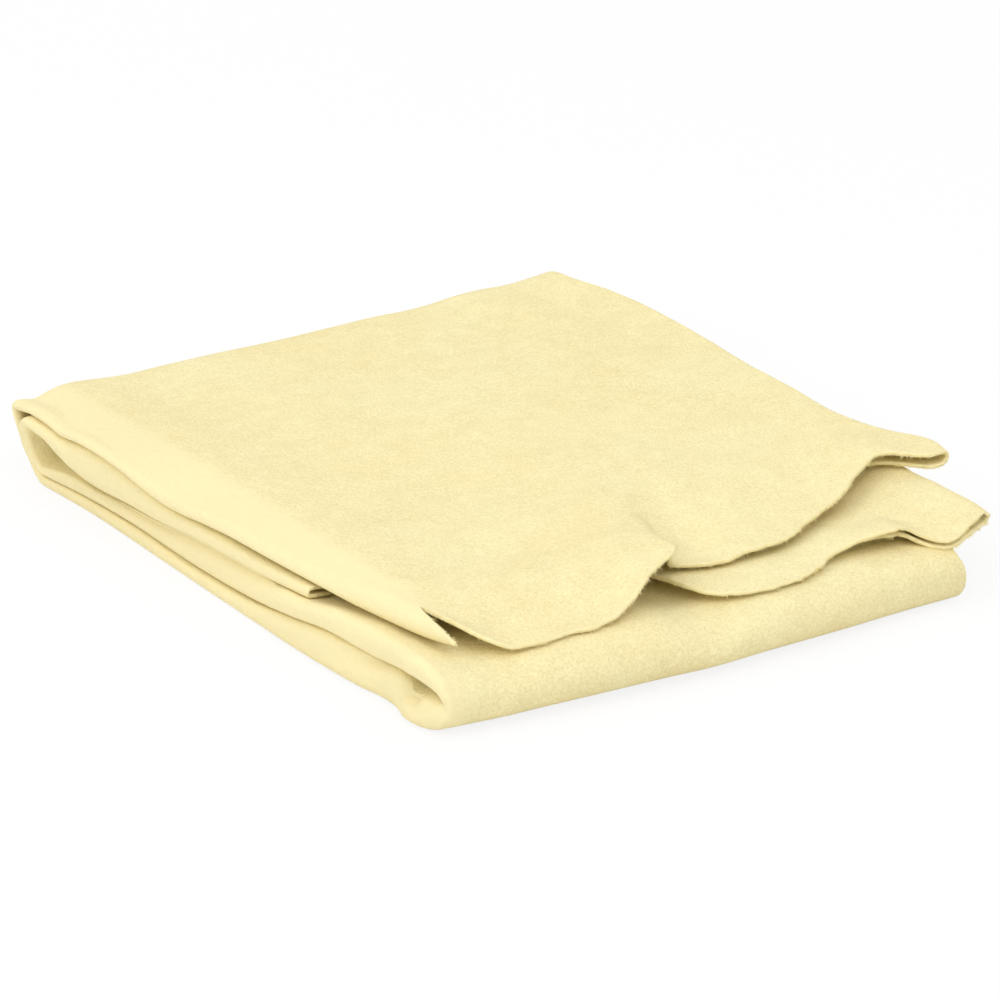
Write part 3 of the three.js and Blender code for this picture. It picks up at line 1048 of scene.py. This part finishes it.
# Margins on the base, round the back and at the flap's front: their widths, the radii that they curl by,
# the gaps that they are pressed to, and how far they stand back from the raw edges
base_margin = 6.0
back_margin = 3
upper_margin = 22
lower_margin = 52
base_curl = 1.4
back_curl = 1.2
upper_curl = 1.9
lower_curl = 1.8
upper_gap = 3.8
lower_gap = 2.2
upper_setback, upper_setback_span = 3, (0, 8)
lower_setback, lower_setback_span = 3.5, (16, 40)

# The bend's reach over most of its width and at the left fold, and how much less at its right corner
back_reach = 10.6
back_inside = 3.2
left_reach = 5.7
left_inside = 4.4
left_run = 30
corner_draw = 4
corner_span = (160, 188)

# The flap's own fold: how square it is, and how far it bulges, along its length and at its front tip
flap_square = 0.9
flap_bulge = 1.6
tip_bulge = 0.5
tip_reach = 14

quarter_turn = 0.5 * np.pi


def back_margins(u):
    """Width of a margin round the back, eased from the base's to the flap's."""
    return mix(base_margin, back_margin, eased(u, 0.2, 0.8))


def back_curls(u):
    """Radius that a margin round the back curls by, straight from the base's to the flap's."""
    return mix(base_curl, back_curl, u)


def bend_reach(middle, end):
    """How far a ply of the back bend reaches: settling from its end at the left fold, and eased in at the
    right corner, which is rounded."""
    return lambda a: mix(middle, end, settled(a, left_run)) - corner_draw * eased(a, *corner_span)


seam_part = flap_part(
    outer=flat_lay(ply0, constant(seam_line), constant(base_end)),
    inner=flat_lay(ply1, constant(seam_line), constant(base_end)),
    rows=seam_rows,
    fold=lambda u: base_fold(mix(seam_line, base_end, u)),
    reach=constant(slim_nose),
    edges=(
        lambda u: outer_edge(mix(seam_line, base_end, u)) - base_margin,
        lambda u: inner_edge(mix(seam_line, base_end, u)) - base_margin,
    ),
    margins=(constant(base_margin), constant(base_margin)),
    radii=(constant(base_curl), constant(base_curl)),
    curl=nothing,
    square=constant(fold_square),
)
back_part = flap_part(
    outer=back_turn(ply0, ply7, bend_reach(back_reach, left_reach)),
    inner=back_turn(ply1, ply6, bend_reach(back_reach - back_inside, left_inside)),
    rows=turn_rows,
    fold=lambda u: mix(base_fold(base_end), flap_fold(flap_line), u),
    reach=lambda u: mix(slim_nose, flap_bulge, u),
    edges=(
        lambda u: mix(outer_edge(base_end) - base_margin, upper_hem(flap_line), eased(u, 0, 0.8)),
        lambda u: mix(inner_edge(base_end) - base_margin, lower_right, eased(u, 0, 0.8)),
    ),
    margins=(back_margins, back_margins),
    radii=(back_curls, back_curls),
    curl=lambda u: quarter_turn * eased(u, 0.75, 1),
    square=lambda u: mix(fold_square, flap_square, u),
)
flap_strip = flap_part(
    outer=upper_lay,
    inner=flat_lay(ply6, constant(flap_line), ragged(lower_cut, 2.1)),
    rows=flap_rows,
    fold=lambda u: flap_fold(mix(flap_line, flap_tip, u)),
    reach=lambda u: flap_bulge + tip_bulge * eased(u, 0.85, 1),
    edges=(lambda u: upper_hem(mix(flap_line, hem_end, u)), constant(lower_right)),
    margins=(
        lambda u: mix(back_margin, upper_margin, u ** 1.5),
        lambda u: mix(back_margin, lower_margin, u ** 2),
    ),
    radii=(lambda u: mix(back_curl, upper_curl, u ** 3), lambda u: mix(back_curl, lower_curl, u ** 3)),
    gaps=(upper_gap, lower_gap),
    setbacks=(
        lambda past: upper_setback * eased(past, *upper_setback_span),
        lambda past: lower_setback * eased(past, *lower_setback_span),
    ),
    curl=lambda u: np.pi * mix(0.5, 1, eased(u, 0, 0.25)),
    square=constant(flap_square),
    tip=lambda u: tip_reach * eased(u, 0.84, 1),
)
flap_grid = joined(seam_part, back_part, flap_strip)

# The nap is drawn out over the whole puffed side of the flap, and close to the fold below it; its paler
# colour there is partly a painted highlight
beside = from_fold(flap_grid, len(margin_share) + len(upper_columns) + fold_steps // 2)
puff_start, puff_end = ridge_line - 2, ridge_line + 4
puffed = 1 - eased(flap_grid[..., 0], puff_start, puff_end)
flap_stretch_and_highlight = np.where(beside < 0, puffed, bell(beside, stretch_and_highlight_width))
hide_flap, flap_area = hide_piece("hide_flap", flap_grid, flap_stretch_and_highlight)
hide_flap.data.materials.append(leather)
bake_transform(hide_flap)
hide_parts("back_fold", "top_flap")

# Edge fibres
# Loose ends of the leather's own fibres, standing out of the flap's raw front edge where the shears cut
# through them. They are rooted in the skin's edge and are attached to the top flap's body.
fibre_count = 6000
fibre_seed = 11
fibre_radius = 0.09
fibre_shortest = 0.5
fibre_spare = 0.3
fibre_longest = 1.6
fibre_lean = 0.5
fibre_bend = 0.55
fibre_taper = 0.7
fibre_droop = 0.6
root_spread = 0.4
root_out = 0.25


def fibres(edge, outward, normal):
    """Seeded spikes at random places along an edge, each three-sided, bent once and closed to a point.
    Their lengths fall off exponentially. They lean at random about the way out of the edge, and droop.
    Returns points and triangles."""
    rng = np.random.default_rng(fibre_seed)
    run = run_lengths(edge[:, None], 0)[:, 0]
    place = rng.uniform(0, run[-1], fibre_count)

    def at_place(values):
        """Vectors along the edge, read off between its points."""
        return np.stack([np.interp(place, run, values[:, k]) for k in range(3)], axis=1)

    out, up = at_place(outward), at_place(normal)
    side = np.cross(out, up)
    length = np.minimum(fibre_shortest + rng.exponential(fibre_spare, fibre_count), fibre_longest)[:, None]
    lean = rng.normal(size=(2, fibre_count, 1)) * fibre_lean
    way = out + side * lean[0] + up * lean[1]
    way = way / np.linalg.norm(way, axis=1, keepdims=True)
    root = at_place(edge) + up * rng.uniform(-root_spread, root_spread, (fibre_count, 1)) + out * root_out
    droop = np.array([0, 0, -1]) * length * rng.uniform(0, fibre_droop, (fibre_count, 1))
    bend = root + way * length * fibre_bend
    tip = root + way * length + droop
    angle = np.radians([0, 120, 240])[None, :, None]
    ring = (up[:, None] * np.cos(angle) + side[:, None] * np.sin(angle)) * fibre_radius
    spike = np.concatenate([root[:, None] + ring, bend[:, None] + ring * fibre_taper, tip[:, None]], axis=1)
    one = np.array([
        (0, 2, 1), (0, 1, 4), (0, 4, 3), (1, 2, 5), (1, 5, 4), (2, 0, 3), (2, 3, 5), (3, 4, 6), (4, 5, 6),
        (5, 3, 6),
    ])
    faces = one[None] + spike.shape[1] * np.arange(fibre_count)[:, None, None]
    return spike.reshape(-1, 3), faces.reshape(-1, 3)


edge_out = flap_grid[-1] - flap_grid[-2]
edge_out = edge_out / np.linalg.norm(edge_out, axis=1, keepdims=True)
fibre_points, fibre_faces = fibres(flap_grid[-1], edge_out, facing(flap_grid)[-1])
marks = np.ones(len(fibre_points))
flap_fibres = skin_object("flap_fibres", fibre_points, fibre_faces, 0 * marks, marks)
flap_fibres.data.materials.append(leather)
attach(flap_fibres, "top_flap")

# Studio
# A white table top that runs out of the picture, soft light from all round, broad lamps from the left and
# the front, and a weaker one from behind that makes the nap along the back edge pale.
table_size = 8
table_grey = (0.92, 0.92, 0.92, 1)
white_share = 0.85
bpy.ops.mesh.primitive_plane_add(size=table_size)
table = bpy.context.object
table.name = "table_top"
paper = bpy.data.materials.new("white_table")
paper.use_nodes = True
nodes = paper.node_tree.nodes
links = paper.node_tree.links
nodes["Principled BSDF"].inputs["Base Color"].default_value = table_grey
nodes["Principled BSDF"].inputs["Roughness"].default_value = 1.0
glow = nodes.new("ShaderNodeEmission")
seen = nodes.new("ShaderNodeLightPath")
either = nodes.new("ShaderNodeMath")
either.operation = "MAXIMUM"
share = nodes.new("ShaderNodeMath")
share.operation = "MULTIPLY"
share.inputs[1].default_value = white_share
choose = nodes.new("ShaderNodeMixShader")
links.new(seen.outputs["Is Camera Ray"], either.inputs[0])
links.new(seen.outputs["Is Glossy Ray"], either.inputs[1])
links.new(either.outputs[0], share.inputs[0])
links.new(share.outputs[0], choose.inputs["Fac"])
links.new(nodes["Principled BSDF"].outputs[0], choose.inputs[1])
links.new(glow.outputs[0], choose.inputs[2])
links.new(choose.outputs[0], nodes["Material Output"].inputs["Surface"])
table.data.materials.append(paper)

world = bpy.data.worlds.new("studio")
bpy.context.scene.world = world
world.use_nodes = True
nodes = world.node_tree.nodes
links = world.node_tree.links
sky = nodes["Background"]
sky.inputs["Color"].default_value = (1, 1, 1, 1)
direction = nodes.new("ShaderNodeTexCoord")
split = nodes.new("ShaderNodeSeparateXYZ")
level = nodes.new("ShaderNodeMapRange")
level.inputs["To Min"].default_value = 0.34
level.inputs["To Max"].default_value = 1.0
links.new(direction.outputs["Generated"], split.inputs["Vector"])
links.new(split.outputs["Z"], level.inputs["Value"])
links.new(level.outputs["Result"], sky.inputs["Strength"])


def soft_lamp(name, power, size, place):
    """A square lamp of that many watts and metres, turned to face the middle of the table."""
    lamp = bpy.data.lights.new(name, "AREA")
    lamp.energy = power
    lamp.size = size
    holder = bpy.data.objects.new(name, lamp)
    holder.location = place
    holder.rotation_euler = (-Vector(place)).to_track_quat("-Z", "Y").to_euler()
    bpy.context.collection.objects.link(holder)


soft_lamp("left_lamp", power=8.6, size=1.0, place=(-1.6, -0.1, 1.2))
soft_lamp("front_lamp", power=9.5, size=1.4, place=(-0.45, -1.15, 1.45))
soft_lamp("back_lamp", power=2.5, size=1.2, place=(0.35, 1.4, 1.1))

# Camera
# At the photograph's height and angle, on a long lens and far enough back for its flat perspective, in
# which the far side of the pack looks nearly as wide as the near one.
azimuth = np.radians(-32.8)
elevation = np.radians(22.0)
distance = 1.554
aim = Vector((-3.844, -5.234, 8.758)) * MM
ground = np.cos(elevation)
toward = Vector((np.sin(azimuth) * ground, -np.cos(azimuth) * ground, np.sin(elevation)))
camera = bpy.data.objects.new("camera", bpy.data.cameras.new("camera"))
camera.data.lens = 200
camera.data.sensor_width = 36
camera.location = aim + toward * distance
camera.rotation_euler = (-toward).to_track_quat("-Z", "Y").to_euler()
bpy.context.collection.objects.link(camera)
bpy.context.scene.camera = camera
bpy.context.scene.view_settings.view_transform = "Standard"
